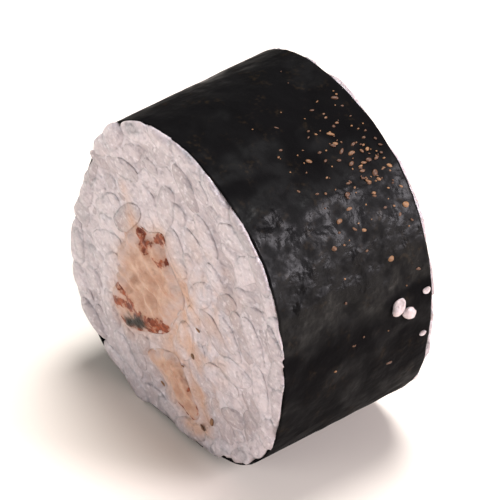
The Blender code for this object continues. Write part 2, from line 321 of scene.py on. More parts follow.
def new_piece(name, verts, quads, tris, masks, material, stands_for=()):
    """Puts numpy vertices, faces and masks into a smooth mesh, and hangs it on the slice's body."""
    mesh = bpy.data.meshes.new(name)
    mesh.vertices.add(len(verts))
    mesh.vertices.foreach_set("co", np.asarray(verts, dtype=np.float32).ravel())
    corners = np.concatenate((quads.ravel(), tris.ravel())).astype(np.int32)
    mesh.loops.add(len(corners))
    mesh.loops.foreach_set("vertex_index", corners)
    sizes = np.concatenate((np.full(len(quads), 4), np.full(len(tris), 3)))
    mesh.polygons.add(len(sizes))
    mesh.polygons.foreach_set("loop_start", (np.cumsum(sizes) - sizes).astype(np.int32))
    mesh.update(calc_edges=True)
    mesh.validate()
    mesh.shade_smooth()
    for key, values in masks.items():
        layer = mesh.attributes.new(key, "FLOAT", "POINT")
        layer.data.foreach_set("value", np.asarray(values, dtype=np.float32).ravel())
    mesh.materials.append(material)
    obj = bpy.data.objects.new(name, mesh)
    bpy.context.scene.collection.objects.link(obj)
    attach(obj, "root")
    if stands_for:
        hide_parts(*stands_for)


def ball_faces(rings, segments):
    """Faces of a closed ball: one pole, rings of segments, one pole. Returns its quads and triangles."""
    quads = grid_faces(rings, segments, True) + 1
    k = np.arange(segments)
    n = (k + 1) % segments
    last = 1 + rings * segments
    first_fan = np.stack((np.zeros_like(k), n + 1, k + 1), -1)
    last_fan = np.stack((np.full_like(k, last), last - segments + k, last - segments + n), -1)
    return quads[:, ::-1], np.concatenate((first_fan, last_fan))[:, ::-1]


def with_poles(points):
    """Balls as stack[ball, vertex, xyz]: the first and the last ring of each shrink to one vertex."""
    poles = points[:, (0, -1)].mean(2)
    return np.concatenate((poles[:, :1], points[:, 1:-1].reshape(len(points), -1, 3), poles[:, 1:]), 1)


def many_balls(stack, rings, segments):
    """Joins balls whose vertices are stack[ball, vertex, xyz] into one array of vertices and of faces."""
    quads, tris = ball_faces(rings, segments)
    shift = (np.arange(len(stack)) * stack.shape[1])[:, None, None]
    return stack.reshape(-1, 3), (quads + shift).reshape(-1, 4), (tris + shift).reshape(-1, 3)


# Materials
def feed(tree, node, **values):
    """Sets a node's inputs: a value is a constant, and a socket is linked.

    A key is an input's name with _ for a space, i and its number, or set_ and a property of the node.
    """
    for key, value in values.items():
        if key.startswith("set_"):
            setattr(node, key[4:], value)
            continue
        numbered = key[0] == "i" and key[1:].isdigit()
        socket = node.inputs[int(key[1:]) if numbered else key.replace("_", " ")]
        if isinstance(value, bpy.types.NodeSocket):
            tree.links.new(value, socket)
        else:
            socket.default_value = value
    return node


def place(tree, kind, **values):
    """Adds a node and feeds it."""
    return feed(tree, tree.nodes.new(kind), **values)


def new_group(name, inputs, outputs):
    """An empty node group with float inputs (name to default) and the named outputs."""
    group = bpy.data.node_groups.new(name, "ShaderNodeTree")
    for key, default in inputs.items():
        socket = group.interface.new_socket(key, in_out="INPUT", socket_type="NodeSocketFloat")
        socket.default_value = default
    for key in outputs:
        group.interface.new_socket(key, in_out="OUTPUT", socket_type="NodeSocketFloat")
    return group, group.nodes.new("NodeGroupInput"), group.nodes.new("NodeGroupOutput")


def mottle_group():
    """Patches of a given size: noise on Object coordinates, stretched so Low gives 0 and High gives 1."""
    if "Mottle" in bpy.data.node_groups:
        return bpy.data.node_groups["Mottle"]
    inputs = {"Per metre": 500.0, "Low": 0.4, "High": 0.6, "Detail": 3.0}
    tree, enter, leave = new_group("Mottle", inputs, ("Mask",))
    coords = place(tree, "ShaderNodeTexCoord")
    noise = place(
        tree, "ShaderNodeTexNoise", Vector=coords.outputs["Object"], Scale=enter.outputs["Per metre"],
        Detail=enter.outputs["Detail"])
    mask = place(
        tree, "ShaderNodeMapRange", Value=noise.outputs["Fac"], From_Min=enter.outputs["Low"],
        From_Max=enter.outputs["High"], set_interpolation_type="SMOOTHSTEP")
    tree.links.new(mask.outputs["Result"], leave.inputs["Mask"])
    return tree


def mottle(tree, size, low=0.4, high=0.6, detail=3.0):
    """The Mask socket of a Mottle group whose patches are about that size in metres."""
    return place(
        tree, "ShaderNodeGroup", set_node_tree=mottle_group(), Per_metre=1.0 / size, Low=low, High=high,
        Detail=detail).outputs["Mask"]


def blend(tree, mask, first, second):
    """Colour that goes from first to second with mask. Either is a colour or a socket."""
    first, second = (c if isinstance(c, bpy.types.NodeSocket) else (*c, 1.0) for c in (first, second))
    return place(tree, "ShaderNodeMix", set_data_type="RGBA", i0=mask, i6=first, i7=second).outputs[2]


def span(tree, mask, low, high):
    """Value that goes from low to high as mask goes from 0 to 1."""
    return place(tree, "ShaderNodeMapRange", Value=mask, To_Min=low, To_Max=high).outputs["Result"]


def times(tree, first, second):
    """The product of two values."""
    return place(tree, "ShaderNodeMath", set_operation="MULTIPLY", i0=first, i1=second).outputs[0]


def carried(tree, name):
    """The value that the mesh carries under that name."""
    return place(tree, "ShaderNodeAttribute", set_attribute_name=name).outputs["Fac"]


def bumps(tree, *layers):
    """Chain of Bump nodes, each layer being (height socket, depth in metres). Returns the last normal."""
    normal = None
    for height, depth in layers:
        node = place(tree, "ShaderNodeBump", Height=height, Distance=depth, Strength=1.0)
        if normal:
            tree.links.new(normal, node.inputs["Normal"])
        normal = node.outputs["Normal"]
    return normal


def new_material(name):
    """A material with its Principled BSDF, returned with its node tree."""
    material = bpy.data.materials.new(name)
    material.use_nodes = True
    return material, material.node_tree, material.node_tree.nodes["Principled BSDF"]


def rice_material(colours):
    """Moist rice: pale grains that let light in a little, with grey and glaze-stained ones between; the tone
    also paints shade in the hollows, and the grey and bright mottles are partly painted shade and painted
    glints.
    """
    material, tree, shader = new_material("Moist rice")
    # Low tone gives greyer grains, and painted shade in the hollows behind the cut faces
    base = blend(tree, carried(tree, "tone"), colours.rice_shade, colours.rice)
    cloudy = blend(tree, times(tree, mottle(tree, 2.4 * MM, 0.35, 0.75), 0.35), base, CLOUDY_RICE)
    # Grey mottle: partly glassy grains, partly painted shade in small hollows. Bright mottle: partly chalky
    # grains, partly painted glints
    glassy_and_hollow_shade = blend(tree, times(tree, mottle(tree, 0.9 * MM, 0.48, 0.66), 0.5), cloudy, GLASSY_RICE_AND_SHADE)
    chalky_and_glints = blend(tree, times(tree, mottle(tree, 0.6 * MM, 0.54, 0.70), 0.5), glassy_and_hollow_shade, CHALKY_RICE_AND_GLINTS)
    stained = blend(tree, carried(tree, "stain"), chalky_and_glints, colours.stain)
    swells = (mottle(tree, 1.3 * MM, 0.2, 0.8, 2.0), 0.34 * MM)
    starch = (mottle(tree, 0.4 * MM, 0.2, 0.8), 0.05 * MM)
    feed(
        tree, shader, Base_Color=stained, Roughness=span(tree, mottle(tree, 1.5 * MM), 0.30, 0.52),
        Normal=bumps(tree, swells, starch), Subsurface_Weight=0.5, Subsurface_Radius=(1.0, 0.85, 0.75),
        Subsurface_Scale=0.45 * MM, IOR=1.42, Coat_Weight=0.5, Coat_Roughness=0.14)
    return material


def fleck_material():
    """Toasted flecks: golden to dark brown, as the mesh says."""
    material, tree, shader = new_material("Toasted flecks")
    feed(tree, shader, Base_Color=blend(tree, carried(tree, "tone"), DARK_FLECK, GOLD_FLECK), Roughness=0.5)
    return material


def nori_material(colours):
    """Dry pressed nori: near black with thin brown patches, crinkled, and satin where the mesh says."""
    material, tree, shader = new_material("Nori")
    thin = times(tree, mottle(tree, 2.2 * MM, 0.5, 0.72), mottle(tree, 0.5 * MM, 0.45, 0.7))
    satin = times(tree, carried(tree, "satin"), span(tree, mottle(tree, 1.6 * MM, 0.3, 0.6), 0.35, 1.0))
    waves = (mottle(tree, 4.5 * MM, 0.2, 0.8, 1.0), 0.55 * MM)
    crinkles = (mottle(tree, 1.8 * MM, 0.2, 0.8, 2.0), 0.13 * MM)
    fibres = (mottle(tree, 0.5 * MM, 0.2, 0.8), 0.02 * MM)
    feed(
        tree, shader, Base_Color=blend(tree, thin, colours.nori, colours.nori_light),
        Roughness=span(tree, satin, 1.0, 0.26), Normal=bumps(tree, waves, crinkles, fibres),
        Specular_IOR_Level=0.12, Coat_Weight=times(tree, satin, 0.05), Coat_Roughness=0.33)
    return material


def eel_material(colours):
    """Glazed eel: tan flesh, red-brown crust and dark skin, where the mesh says, with uneven edges."""
    material, tree, shader = new_material("Glazed eel")
    flesh = blend(tree, mottle(tree, 1.4 * MM, 0.35, 0.7), colours.flesh, WARM_FLESH)
    browned = blend(tree, mottle(tree, 0.7 * MM, 0.35, 0.65), colours.crust, LIGHT_CRUST)
    torn = times(tree, carried(tree, "crust"), span(tree, mottle(tree, 0.5 * MM, 0.35, 0.65), 0.45, 1.35))
    ragged = place(tree, "ShaderNodeMapRange", Value=torn, From_Min=0.36, From_Max=0.66).outputs["Result"]
    near_rice = times(tree, carried(tree, "pale"), span(tree, mottle(tree, 1.2 * MM), 0.5, 1.0))
    pale = blend(tree, near_rice, flesh, PALE_FLESH)
    glazed = blend(tree, times(tree, carried(tree, "crust"), 0.65), pale, GLAZE_HALO)
    crusted = blend(tree, ragged, glazed, browned)
    skinned = blend(tree, carried(tree, "skin"), crusted, colours.skin)
    flakes = (mottle(tree, 0.9 * MM, 0.2, 0.8), 0.10 * MM)
    fibres = (mottle(tree, 0.3 * MM, 0.2, 0.8), 0.03 * MM)
    feed(
        tree, shader, Base_Color=skinned, Roughness=span(tree, mottle(tree, 1.0 * MM), 0.30, 0.52),
        Normal=bumps(tree, flakes, fibres), Subsurface_Weight=0.2, Subsurface_Radius=(1.0, 0.45, 0.25),
        Subsurface_Scale=0.6 * MM, IOR=1.45, Specular_IOR_Level=0.25, Coat_Weight=0.12, Coat_Roughness=0.22)
    return material


# The nori
def nori_surface(sizes, around, along):
    """The wound sheet: a grid of angle and depth on the lobed circle, wrinkled inwards by noise.

    Point = centre + (radius cos a, depth, radius sin a), radius = lobed circle - tuck - wrinkles.
    The outer and the inner grid are a wall apart and close on each other at all four edges.
    """
    wound = np.linspace(0.0, math.tau + NORI_LAP, around)
    angle = (NORI_START + wound)[:, None]
    half = sizes.length / 2 - 0.25 * MM
    circle = np.stack((np.cos(angle[:, 0]), np.sin(angle[:, 0])), -1) * sizes.mean_radius
    rim_places = np.stack((circle[:, 0], circle[:, 1], wound * 3 * MM), -1)
    front = half * (1.0 + 0.015 * layered_wander(rim_places, 4.0 * MM, 3))
    back = half * (1.0 + 0.015 * layered_wander(rim_places + 0.1, 4.0 * MM, 4))
    share = np.linspace(0.0, 1.0, along)[None, :]
    depth = -front[:, None] + (front + back)[:, None] * share
    torn = 0.4 * MM * layered_wander(np.stack((depth[-1], depth[-1] * 0, depth[-1] * 0), -1), 3.0 * MM, 5)
    end = smooth_step((wound - math.tau - NORI_LAP * 0.5) / (NORI_LAP * 0.5))[:, None]
    angle = angle + end * (torn / sizes.mean_radius)[None, :]
    tuck = TUCK_DEPTH * (1.0 - smooth_step((wound - NORI_LAP) / TUCK_RISE))[:, None]
    outer = roll_radius(angle, sizes.mean_radius) - tuck + CAD_WALL / 2
    places = around_roll(angle, outer, depth)
    places[..., 1] += tuck * 3
    broad = layered_wander(places + 0.2, 4.2 * MM, 11, 2)
    fine = layered_wander(places + 0.2, 1.8 * MM, 15, 2)
    crease = np.abs(layered_wander(places * np.array((1.0, 0.55, 1.0)) + 0.2, 3.0 * MM, 21, 2))
    dent = sizes.wrinkle * (0.55 + 0.45 * broad + 0.12 * fine - 0.5 * (1 - np.minimum(crease * 4, 1.0)))
    outer = outer - np.maximum(dent, 0.0)
    inner = outer - sizes.nori_wall
    return [CENTRE + around_roll(angle, radius, depth) for radius in (outer, inner)]


def satin_band(verts):
    """1 where hands smoothed the sheet, in a band on both sides, and less in patches elsewhere."""
    around = np.degrees(np.arctan2(verts[:, 2] - CENTRE[2], np.abs(verts[:, 0] - CENTRE[0])))
    around = around + 9.0 * layered_wander(verts, 6.0 * MM, 33)
    band = smooth_step((around - SATIN_FROM) / 8.0) * (1 - smooth_step((around - SATIN_TO) / 18.0))
    patches = smooth_step(layered_wander(verts, 3.0 * MM, 37) * 1.2 + 0.2)
    return np.maximum(band, 0.35 * patches)


def two_skins(outer, inner):
    """Vertices and quads of a closed sheet: both grids, and a strip along each of their four edges."""
    rows, columns = outer.shape[:2]
    count = rows * columns
    top = grid_faces(rows, columns, False)
    index = np.arange(count).reshape(rows, columns)
    edge = np.concatenate((index[0, :-1], index[:-1, -1], index[-1, :0:-1], index[:0:-1, 0]))
    after = np.roll(edge, -1)
    strip = np.stack((edge, edge + count, after + count, after), -1)
    verts = np.concatenate((outer.reshape(-1, 3), inner.reshape(-1, 3)))
    return verts, np.concatenate((top, top[:, ::-1] + count, strip))


class MAKI_OT_nori(bpy.types.Operator):
    """Winds the wrinkled nori round the rice"""

    bl_idname = "maki.nori"
    bl_label = "Wind the nori"

    def execute(self, context):
        sizes, colours = context.scene.maki_sizes, context.scene.maki_colours
        verts, quads = two_skins(*nori_surface(sizes, NORI_AROUND, NORI_ALONG))
        tris, masks = np.empty((0, 3), int), {"satin": satin_band(verts)}
        new_piece("nori_sheet", verts, quads, tris, masks, nori_material(colours), ("nori",))
        return {"FINISHED"}


# The rice
def eel_curves(count=60):
    """Both eel outlines as dense closed lines of points."""
    share = np.arange(count) / count
    return [closed_curve(points, share) for points in (UPPER_EEL, LOWER_EEL)]


def stain_mask(places):
    """How much glaze the rice took up: most beside the eel and the stain lines, less in a patchy veil."""
    flat = places[..., (0, 2)] - CENTRE[[0, 2]]
    near = np.min([rim_distance(flat, curve) for curve in eel_curves()], axis=0)
    lines = np.min([line_distance(flat, np.array(line) * MM) for line in STAIN_LINES], axis=0)
    uneven = 0.5 + 0.5 * layered_wander(places + 0.3, 2.2 * MM, 31)
    fine = smooth_step(0.5 + 0.9 * layered_wander(places + 0.2, 1.1 * MM, 35))
    close = EEL_STAIN * (1 - smooth_step(near / EEL_STAIN_REACH))
    close = close + LINE_STAIN * (1 - smooth_step(lines / LINE_STAIN_REACH))
    aside = np.linalg.norm((flat - VEIL_MIDDLE) * np.array((1.0, 0.62)), axis=-1)
    veil = VEIL_STAIN * (1 - smooth_step(aside / VEIL_REACH)) * fine
    return np.clip((close + veil) * (0.35 + uneven), 0.0, MOST_STAIN)


def hollow_shaded_tone(tone, verts, sizes):
    """The tone, less in the hollows, which paints shade there: down to a quarter of it half a millimetre
    behind the cut faces.
    """
    behind = sizes.length / 2 + 0.10 * MM - np.abs(verts[:, 1])
    return tone * (1 - 0.75 * smooth_step(behind / (0.45 * MM)))


def settle_grains(sizes, face, draw):
    """Where grains lie in the slab behind one cut face.

    Each grain is a chain of three balls. Balls of different grains push apart, and the nori, the eel
    and the slab's two planes push them in, while each chain is kept straight and at its length.
    Returns the grains' centres and directions.
    """
    ball = sizes.grain_width * 0.45
    reach = sizes.grain_length / 2 - ball
    count = sizes.grains
    angle = draw.uniform(0, math.tau, count)
    ring = np.sqrt(draw.uniform(0, 1, count)) * (roll_radius(angle, sizes.mean_radius) - ball * 1.4)
    surface = sizes.length / 2 + 0.10 * MM
    depth = draw.uniform(surface - sizes.slab, surface, count)
    centres = around_roll(angle, ring, face * depth)
    ways = unit(draw.normal(size=(count, 3)) * np.array((1.0, 0.9, 1.0)))
    steps = np.array((-reach, 0.0, reach))[None, :, None]
    owner = np.repeat(np.arange(count), 3)
    same = owner[:, None] == owner[None, :]
    curves = eel_curves(36)
    for _step in range(SETTLE_STEPS):
        balls = (centres[:, None] + ways[:, None] * steps).reshape(-1, 3)
        apart = balls[:, None] - balls[None]
        gap = np.linalg.norm(apart, axis=-1) + 1e-9
        overlap = np.where(same, 0.0, np.maximum(CLOSEST * ball - gap, 0.0))
        push = (apart / gap[..., None] * overlap[..., None]).sum(1) * BALL_SHOVE
        flat = balls[:, (0, 2)]
        out = np.linalg.norm(flat, axis=1) + 1e-9
        side = rice_side(np.arctan2(flat[:, 1], flat[:, 0]), sizes.mean_radius)
        ahead = smooth_step((face * balls[:, 1] - sizes.length / 2 + 1.2 * MM) / (0.8 * MM))
        over = out - (side - ball * 0.85 + 0.45 * MM * ahead)
        push[:, (0, 2)] -= flat / out[:, None] * np.maximum(over, 0.0)[:, None] * NORI_SHOVE
        for curve in curves:
            offset = flat[:, None] - curve[None]
            distance = np.linalg.norm(offset, axis=-1)
            nearest = distance.argmin(1)
            rows = np.arange(len(flat))
            span_out = distance[rows, nearest]
            outward = offset[rows, nearest] / (span_out[:, None] + 1e-9)
            sign = np.where(inside_curve(flat, curve), -1.0, 1.0)
            short = np.maximum(ball - sign * span_out, 0.0)
            push[:, (0, 2)] += outward * sign[:, None] * short[:, None] * EEL_SHOVE
        depth = face * balls[:, 1]
        deep, high = np.maximum(surface - sizes.slab - depth, 0.0), np.maximum(depth - surface, 0.0)
        push[:, 1] += face * (deep - high) * PLANE_SHOVE
        moved = (balls + push).reshape(count, 3, 3)
        centres = moved.mean(1)
        ways = unit(moved[:, 2] - moved[:, 0])
    return centres, ways


def grain_stack(sizes, centres, ways, draw):
    """One closed grain for each centre and direction.

    A point at share s of the half length and angle u lies at s along, and at
    width (1 - |s|^2.5)^0.5 across, flattened, bent by s^2, with a nick at the germ end.
    """
    count = len(centres)
    s = -np.cos(np.linspace(0, math.pi, GRAIN_RINGS + 2))
    u = np.arange(GRAIN_SEGMENTS) / GRAIN_SEGMENTS * math.tau
    length = sizes.grain_length / 2 * draw.uniform(*LENGTH_SHARES, (count, 1, 1))
    width = sizes.grain_width / 2 * draw.uniform(*WIDTH_SHARES, (count, 1, 1))
    flatness = draw.uniform(*THICKNESS_SHARES, (count, 1, 1))
    bend = draw.uniform(-GRAIN_BEND, GRAIN_BEND, (count, 1, 1))
    taper = draw.uniform(-GRAIN_TAPER, GRAIN_TAPER, (count, 1, 1))
    profile = np.sqrt(np.maximum(1 - np.abs(s) ** 2.5, 0.0))[None, :, None] * (1 + taper * s[None, :, None])
    nick = 1 - 0.22 * np.exp(-((s[None, :, None] - 0.72) / 0.2) ** 2 - ((u[None, None] - math.pi) / 0.8) ** 2)
    a = length * s[None, :, None] + 0 * u
    b = width * profile * np.cos(u) * nick + bend * (s**2)[None, :, None]
    c = width * profile * np.sin(u) * flatness + 0 * b
    side = unit(np.cross(ways, draw.normal(size=(count, 3))))
    third = np.cross(ways, side)
    parts = ((a, ways), (b, side), (c, third))
    points = sum(value[..., None] * way[:, None, None] for value, way in parts) + centres[:, None, None]
    dents = np.stack([layered_wander(points + 0.1, 2.2 * MM, 80 + k, 2) for k in range(3)], -1)
    return with_poles(points + GRAIN_DENT * dents)


def rim_grains(sizes, face, draw):
    """Grains that lie along the rim of a cut face, a grain's length apart, turned a little in or out."""
    count = round(math.tau * sizes.mean_radius / (sizes.grain_length * 0.72))
    angle = (np.arange(count) + draw.uniform(-0.25, 0.25, count)) / count * math.tau
    ring = rice_side(angle, sizes.mean_radius) - draw.uniform(0.55, 1.0, count) * MM
    depth = face * (sizes.length / 2 - draw.uniform(0.5, 1.0, count) * MM)
    centres = around_roll(angle, ring, depth)
    turn = angle + math.pi / 2 + draw.uniform(-0.35, 0.35, count)
    ways = np.stack((np.cos(turn), draw.uniform(-0.2, 0.2, count), np.sin(turn)), -1)
    return centres, unit(ways)


def knife_cut(stack, plane, face, soft):
    """Flattens what passes each grain's own plane, to plane - soft ln(1 + e^((plane - depth) / soft))."""
    depth = face * stack[..., 1]
    excess = np.clip((plane[:, None] - depth) / soft, -40.0, 40.0)
    stack[..., 1] = face * (plane[:, None] - soft * np.log1p(np.exp(excess)))
    return stack


def press_in(stack, sizes, face):
    """Draws what stands past the nori's inner side back to it, or a little less far in front of its rim."""
    out = np.linalg.norm(stack[..., (0, 2)], axis=-1)
    edge = rice_side(np.arctan2(stack[..., 2], stack[..., 0]), sizes.mean_radius)
    ahead = smooth_step((face * stack[..., 1] - sizes.length / 2 + 0.35 * MM) / (0.4 * MM))
    edge = edge + 0.55 * MM * ahead
    share = np.where(out > edge, edge / np.maximum(out, 1e-9), 1.0)
    stack[..., 0] *= share
    stack[..., 2] *= share
    return stack


def starch_film(stack, face, sizes, cell=0.25 * MM, cells=160):
    """Height map of the starch that joins the grains of one cut face.

    Each cell takes the highest grain point in it and beside it, down to a floor, and three passes of
    the kernel 1 2 1 blur the map. It returns a function that reads the map at (right, up) places.
    """
    end = sizes.length / 2
    heights = np.full((cells, cells), end - FILM_FLOOR)
    points = stack.reshape(-1, 3)
    points = points[face * points[:, 1] > end - FILM_FLOOR]
    at = np.clip(np.rint(points[:, (0, 2)] / cell).astype(int) + cells // 2, 0, cells - 1)
    np.maximum.at(heights, (at[:, 0], at[:, 1]), face * points[:, 1])
    for axis in (0, 1):
        heights = np.maximum(heights, np.maximum(np.roll(heights, 1, axis), np.roll(heights, -1, axis)))
    for axis in (0, 1) * 3:
        heights = (2 * heights + np.roll(heights, 1, axis) + np.roll(heights, -1, axis)) / 4

    def height_at(flat):
        places = np.clip(flat / cell + cells // 2, 0, cells - 1.001)
        whole = np.floor(places).astype(int)
        (i, j), (u, v) = np.moveaxis(whole, -1, 0), np.moveaxis(places - whole, -1, 0)
        low = heights[i, j] * (1 - u) + heights[i + 1, j] * u
        high = heights[i, j + 1] * (1 - u) + heights[i + 1, j + 1] * u
        return low * (1 - v) + high * v

    return height_at


def rice_core(sizes, films, around=340, rings=76):
    """Bed under the grains: a drum just inside the nori whose ends follow the starch between the grains."""
    angle = np.arange(around) / around * math.tau
    radius = rice_side(angle, sizes.mean_radius) - 0.15 * MM
    share = np.linspace(0.02, 1, rings)
    ends = []
    for face, film in zip((-1, 1), films):
        x, z = (share[:, None] * (radius * way) for way in (np.cos(angle), np.sin(angle)))
        flat = np.stack((x, z), -1)
        lumps = BED_LUMPS * wander(np.stack((x, face * sizes.length + 0 * x, z), -1), 1.2 * MM, 41)
        channel, close, height = np.zeros(x.shape), np.zeros(x.shape), film(flat)
        for curve in eel_curves():
            beside = flat - np.array((EEL_DRIFT * face, 0.0))
            edge = rim_distance(beside, curve)
            inward = np.where(inside_curve(beside, curve), edge, 0.0)
            channel = np.maximum(channel, smooth_step(inward / (0.6 * MM) - 0.5))
            close = np.maximum(close, 1 - smooth_step(edge / (1.3 * MM)))
        height = height + close * np.maximum(sizes.length / 2 + 0.02 * MM - height, 0.0)
        corner = smooth_step((share - 0.94) / 0.06)[:, None]
        depth = height - BED_BELOW + lumps - CHANNEL_DEPTH * channel - CORNER_DROP * corner
        ends.append(np.stack((x, face * depth, z), -1))
    points = np.concatenate((ends[0], ends[1][::-1]))
    poles = points[(0, -1), :].mean(1)
    return np.concatenate((poles[:1], points.reshape(-1, 3), poles[1:])) + CENTRE, 2 * rings, around


class MAKI_OT_rice(bpy.types.Operator):
    """Lays the rice: a bumpy bed and real grains behind both cut faces"""

    bl_idname = "maki.rice"
    bl_label = "Lay the rice"

    def execute(self, context):
        sizes, colours = context.scene.maki_sizes, context.scene.maki_colours
        rice = rice_material(colours)
        draw = np.random.default_rng(sizes.seed)
        stacks, tones = [], []
        for face in (-1, 1):
            settled, rim = settle_grains(sizes, face, draw), rim_grains(sizes, face, draw)
            centres, ways = (np.concatenate(pair) for pair in zip(settled, rim))
            stack = grain_stack(sizes, centres, ways, draw)
            plane = sizes.length / 2 + draw.uniform(*CUT_LEVELS, len(centres))
            plane[len(settled[0]):] += RIM_RAISE
            stack = knife_cut(stack, plane, face, sizes.cut_soft)
            stack = press_in(stack, sizes, face)
            stacks.append(stack)
            tones.append(np.repeat(draw.beta(2.2, 1.4, len(centres)), stack.shape[1]))
        verts, rings, around = rice_core(sizes, [starch_film(*pair, sizes) for pair in zip(stacks, (-1, 1))])
        quads, tris = ball_faces(rings, around)
        # The bed's tone carries painted shade in the hollows behind the cut faces
        masks = {"tone": hollow_shaded_tone(0.9, verts, sizes), "stain": stain_mask(verts)}
        new_piece("rice_bed", verts, quads, tris, masks, rice, ("rice",))
        verts, quads, tris = many_balls(np.concatenate(stacks) + CENTRE, GRAIN_RINGS, GRAIN_SEGMENTS)
        # The grains' tone is their own random greyness plus painted shade in the hollows behind the cut faces
        masks = {"tone": hollow_shaded_tone(np.concatenate(tones), verts, sizes), "stain": stain_mask(verts)}
        new_piece("rice_grains", verts, quads, tris, masks, rice)
        return {"FINISHED"}


# The eel
def eel_surface(points, sizes, around=120, rings=30, side=14):
    """One strip of eel from face to face.

    Ends: rings that shrink from the outline to its middle, with ridges of flaky flesh, |sin| of a
    warped distance across the layers. Side: the outline carried along Y, drifting and uneven.
    """
    share = np.arange(around) / around
    outline = closed_curve(points, share)
    middle = outline.mean(0)
    spread = np.concatenate((np.linspace(0.04, 1, rings), np.ones(side), np.linspace(1, 0.04, rings)))
    half = sizes.length / 2
    between = np.linspace(-half, half, side + 2)[1:-1]
    depth = np.concatenate((np.full(rings, -half), between, np.full(rings, half)))
    flat = middle + (outline - middle)[None] * spread[:, None, None]
    x = flat[..., 0] + EEL_DRIFT * (depth / half)[:, None]
    verts = np.stack((x, depth[:, None] + 0 * x, flat[..., 1]), -1)
    warp = layered_wander(verts + 0.1, 3.5 * MM, 51, 2)
    across = (verts[..., 0] * 0.45 + verts[..., 2] * 0.9) / FLAKE_SPACING + 1.3 * warp
    flake = np.abs(np.sin(across * math.pi / 2)) - 0.5
    rough = layered_wander(verts + 0.2, 1.1 * MM, 57, 2)
    ends = (spread < 1.0)[:, None] * np.sign(depth)[:, None]
    dome = 1 - smooth_step((spread - 0.75) / 0.25)[:, None]
    verts[..., 1] += ends * (EEL_DOME * dome - EEL_SINK + EEL_FLAKES * flake + EEL_TEARS * rough)
    poles = verts[(0, -1), :].mean(1)
    return np.concatenate((poles[:1], verts.reshape(-1, 3), poles[1:])) + CENTRE, len(spread), around


def edge_mask(verts, lines, seed):
    """1 on the lines and 0 beyond each line's own width, its first number, with an edge torn by noise."""
    flat = (verts[:, (0, 2)] - CENTRE[[0, 2]]) / MM
    flat[:, 0] -= EEL_DRIFT / MM * (verts[:, 1] / NORI_HIGH[1])
    beyond = np.min([line_distance(flat, line) - width for width, *line in lines], axis=0)
    ragged = beyond + 0.40 * layered_wander(verts + 0.4, 0.9 * MM, seed)
    return 1 - smooth_step((ragged + 0.45) / 0.9)


class MAKI_OT_eel(bpy.types.Operator):
    """Lays both strips of eel, flaky at their cut ends"""

    bl_idname = "maki.eel"
    bl_label = "Lay the eel"

    def execute(self, context):
        sizes, colours = context.scene.maki_sizes, context.scene.maki_colours
        eel = eel_material(colours)
        for node, points, margin in (("eel_upper", UPPER_EEL, 2.6 * MM), ("eel_lower", LOWER_EEL, 1.1 * MM)):
            verts, rings, around = eel_surface(points, sizes)
            quads, tris = ball_faces(rings, around)
            crust = edge_mask(verts, CRUST_LINES, 61)
            skin = edge_mask(verts, SKIN_LINES, 67)
            flat = verts[:, (0, 2)] - CENTRE[[0, 2]]
            curve = closed_curve(points, np.arange(60) / 60)
            rim = rim_distance(flat, curve)
            right = smooth_step((flat[:, 0] - curve[:, 0].mean()) / (5.0 * MM))
            ragged = rim + 0.5 * MM * layered_wander(verts + 0.2, 1.6 * MM, 71) - 0.54 * margin * right
            pale = 1 - smooth_step(ragged / margin)
            masks = {"crust": crust, "skin": skin, "pale": pale}
            new_piece(node + "_flesh", verts, quads, tris, masks, eel, (node,))
        return {"FINISHED"}


# Crumbs
def crumb_stack(places, outward, along, sizes, seed, rings=CRUMB_RINGS, segments=CRUMB_SEGMENTS, uneven=0.45):
    """One crumb for each place: a ball stretched to (long, wide, thick) and dented by noise.

    Uneven is the depth of the dents as a share of the thickness.
    """
    s = -np.cos(np.linspace(0, math.pi, rings + 2))[None, :, None]
    u = (np.arange(segments) / segments * math.tau)[None, None]
    across = np.cross(outward, along)
    ring = np.sqrt(1 - s**2)
    parts = ((s + 0 * u, along, 0), (ring * np.cos(u), across, 1), (ring * np.sin(u), outward, 2))
    half = sizes[:, None, None] / 2
    points = sum((value * half[..., axis])[..., None] * way[:, None, None] for value, way, axis in parts)
    thick = sizes[:, None, None, 2:]
    noises = [layered_wander(points + places[:, None, None], 0.8 * MM, seed + k, 2) for k in range(3)]
    return with_poles(places[:, None, None] + points + np.stack(noises, -1) * thick * uneven)


def on_nori(sizes, angle, depth, sunk):
    """Places sunk that far into the nori's outside, at those angles and depths, and their outward ways."""
    outward = around_roll(angle, 1.0, 0.0)
    radius = roll_radius(angle, sizes.mean_radius) + CAD_WALL / 2 - sunk
    return CENTRE + outward * radius[:, None] + depth[:, None] * np.array((0.0, 1.0, 0.0)), outward


def turned(outward, turn):
    """Ways along the surface: Y turned about each outward way by an angle."""
    axis = np.array((0.0, 1.0, 0.0)) + 0 * outward
    return axis * np.cos(turn)[:, None] + np.cross(outward, axis) * np.sin(turn)[:, None]


